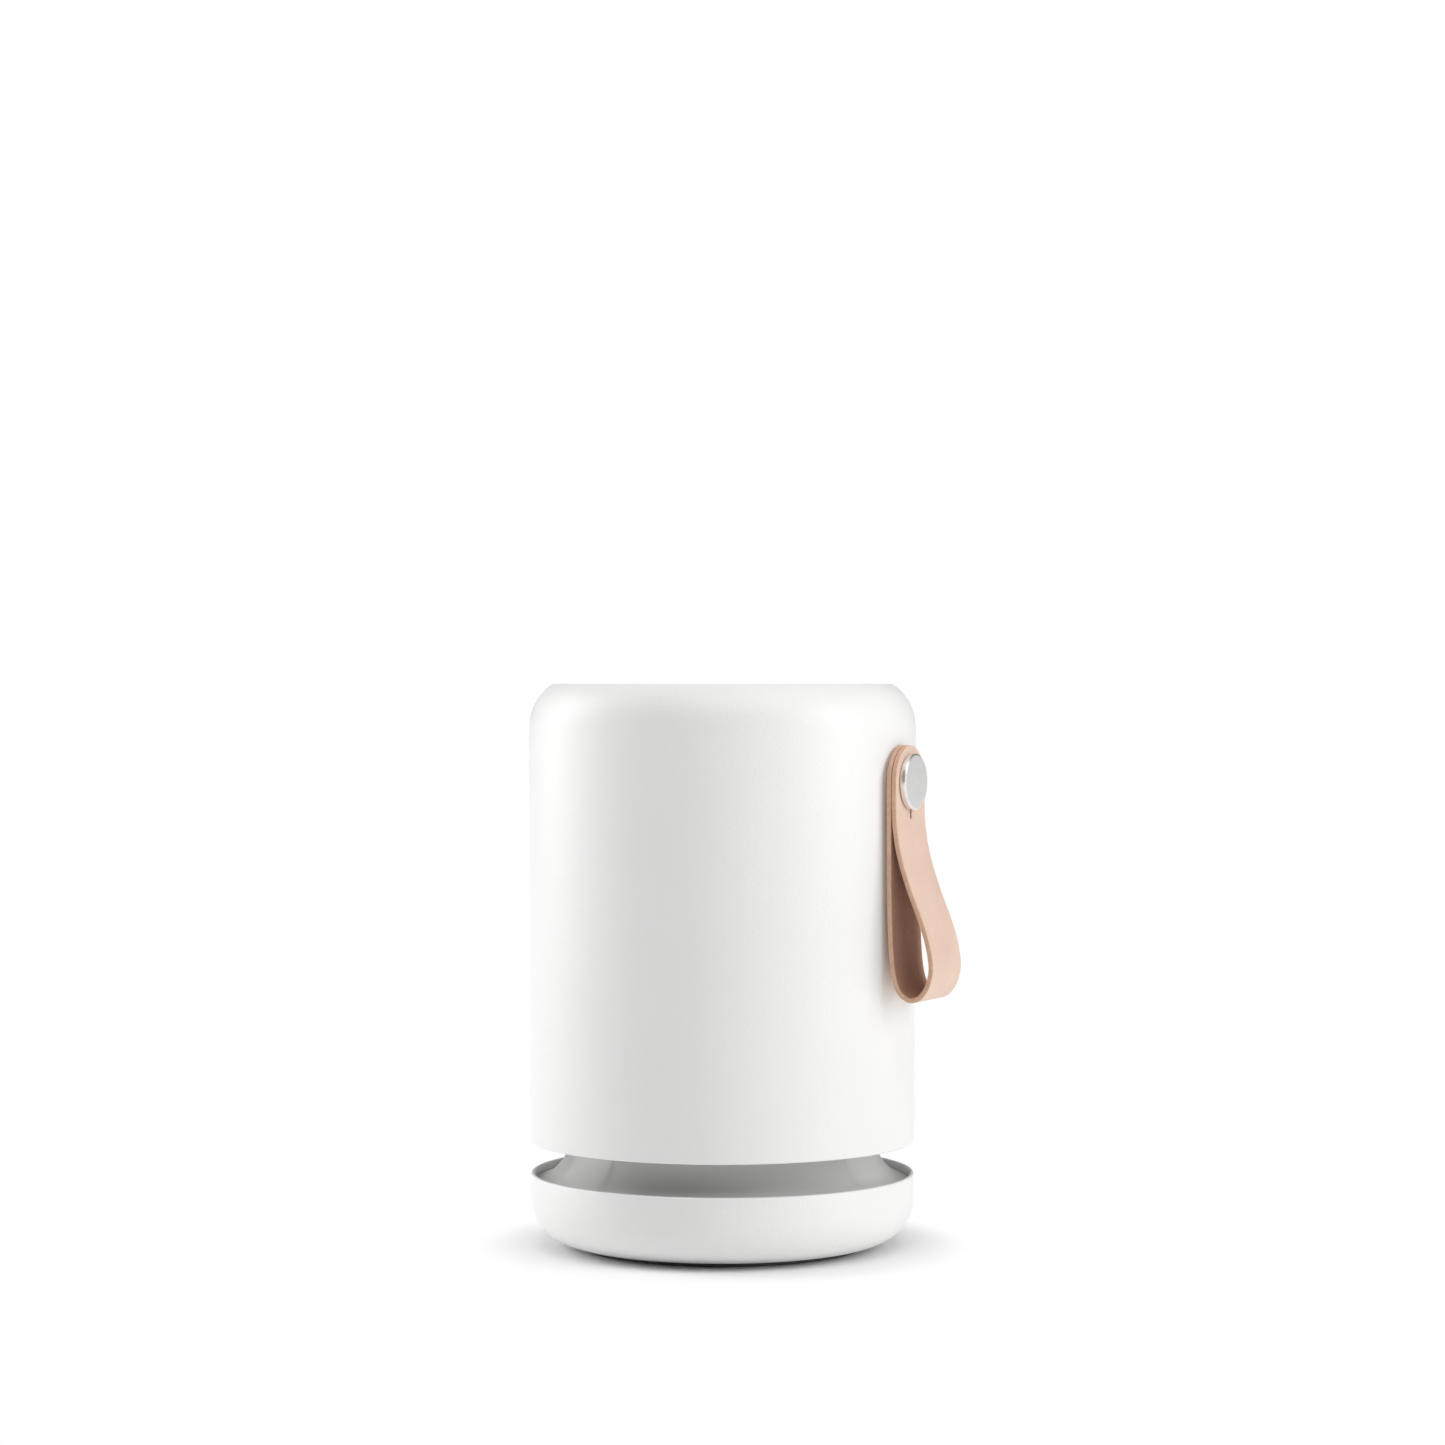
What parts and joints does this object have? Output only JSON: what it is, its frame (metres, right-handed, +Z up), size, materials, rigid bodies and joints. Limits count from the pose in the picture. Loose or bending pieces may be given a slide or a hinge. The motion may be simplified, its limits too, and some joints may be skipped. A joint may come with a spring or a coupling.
{
  "type": "air purifier",
  "caption": "Compact cylindrical air purifier with a lift-off housing on a bowl-shaped base, an all-round air intake gap, a pleated filter, a top outlet and a hanging leather carry strap.",
  "frame": {"origin": "centre of the foot pad's underside, on the purifier's own axis", "axes": "+Z up along the purifier's axis; -Y is the front; +X is the side that the carry strap hangs on; the power inlet is at +Y"},
  "size_m": [0.2373, 0.21, 0.305],
  "materials": {
    "housing_white": "very fine moulded texture, near white",
    "cone_grey": "smooth mid grey",
    "foot_rubber": "dark matte",
    "strap_leather": "vegetable-tanned, peach",
    "stud_aluminium": "satin, lathe-turned",
    "inner_plastic": "plain moulded",
    "black_plastic": "plain moulded",
    "steel": "zinc plated",
    "brass": "turned",
    "winding": "enamelled copper over laminations",
    "filter_paper": "pleated fleece",
    "seal_foam": "closed-cell foam",
    "board": "solder mask",
    "lens": "translucent diffuser",
    "lead_sheath": "PVC"
  },
  "bodies": {
    "base": {"foot_pad": "foot_rubber", "base_bowl": "housing_white", "intake_cone": "cone_grey", "base_screw_1": "steel", "base_screw_2": "steel", "base_screw_3": "steel", "hold_magnet_1": "steel", "hold_magnet_2": "steel", "hold_magnet_3": "steel", "filter_bottom_cap": "inner_plastic", "filter_media": "filter_paper", "filter_core": "inner_plastic", "filter_top_cap": "inner_plastic", "filter_seal": "seal_foam"},
    "housing": {"housing_shell": "housing_white", "seat_ring": "inner_plastic", "keeper_disc_1": "steel", "keeper_disc_2": "steel", "keeper_disc_3": "steel", "fan_deck": "inner_plastic", "deck_screw_1": "steel", "deck_screw_2": "steel", "deck_screw_3": "steel", "motor_bridge": "inner_plastic", "bridge_screw_1": "steel", "bridge_screw_2": "steel", "bridge_screw_3": "steel", "bearing_tube": "brass", "lower_bearing": "steel", "upper_bearing": "steel", "stator": "winding", "lamp_bracket": "inner_plastic", "lamp_column": "stud_aluminium", "lamp_strip_1": "lens", "lamp_strip_2": "lens", "lamp_strip_3": "lens", "top_grille": "housing_white", "control_tray": "inner_plastic", "control_disc": "housing_white", "light_ring": "lens", "main_board": "board", "tact_switch": "black_plastic", "dc_socket": "black_plastic", "dc_pin": "brass", "power_lead": "lead_sheath", "motor_lead": "lead_sheath", "lamp_lead": "lead_sheath", "strap_stud": "stud_aluminium", "backing_plate": "steel", "stud_nut": "steel"},
    "impeller": {"impeller": "black_plastic", "rotor_can": "steel", "motor_shaft": "steel"},
    "strap": {"strap": "strap_leather"},
    "button": {"power_button": "inner_plastic"}
  },
  "joints": [
    {"name": "housing_lift", "type": "slide", "parent": "base", "child": "housing", "axis": [0, 0, 1], "range_m": [0, 0.16]},
    {"name": "impeller_spin", "type": "hinge", "parent": "housing", "child": "impeller", "pos_m": [0, 0, 0.225], "axis": [0, 0, 1], "continuous": true},
    {"name": "strap_swivel", "type": "hinge", "parent": "housing", "child": "strap", "pos_m": [0.1085, 0, 0.2531], "axis": [1, 0, 0], "continuous": true},
    {"name": "button_press", "type": "slide", "parent": "housing", "child": "button", "axis": [0, 0, -1], "range_m": [0, 0.0012], "stiffness_N_per_m": 800}
  ]
}
